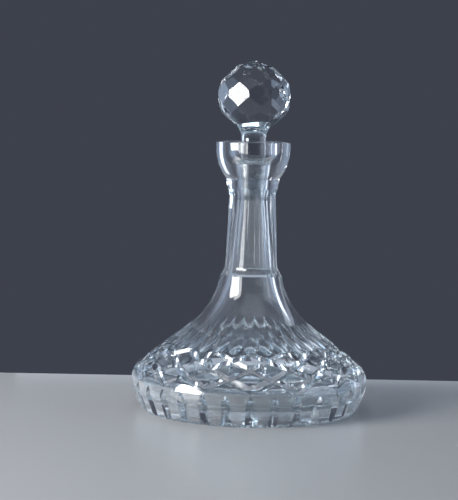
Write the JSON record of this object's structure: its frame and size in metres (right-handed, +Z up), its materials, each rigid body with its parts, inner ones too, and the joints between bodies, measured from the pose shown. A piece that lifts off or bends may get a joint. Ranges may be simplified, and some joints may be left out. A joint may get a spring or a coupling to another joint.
{
  "type": "ships decanter",
  "caption": "Wide-bottomed cut crystal decanter with a fluted neck, flat pouring lip and a ground-in faceted ball stopper that lifts out.",
  "frame": {"origin": "centre of the flat foot, on the table", "axes": "+Z up along the axis of the glass, -Y to the front"},
  "size_m": [0.179, 0.179, 0.2627],
  "materials": {
    "body_crystal": "polished clear lead crystal, wheel cut, with a fine-ground seat in the neck",
    "stopper_crystal": "polished clear lead crystal, cut in flats, with a fine-ground peg"
  },
  "bodies": {
    "vessel": {"decanter_body": "body_crystal"},
    "stopper": {"ball_stopper": "stopper_crystal"}
  },
  "joints": [
    {"name": "stopper_lift", "type": "slide", "parent": "vessel", "child": "stopper", "axis": [0, 0, 1], "range_m": [0, 0.06]}
  ]
}
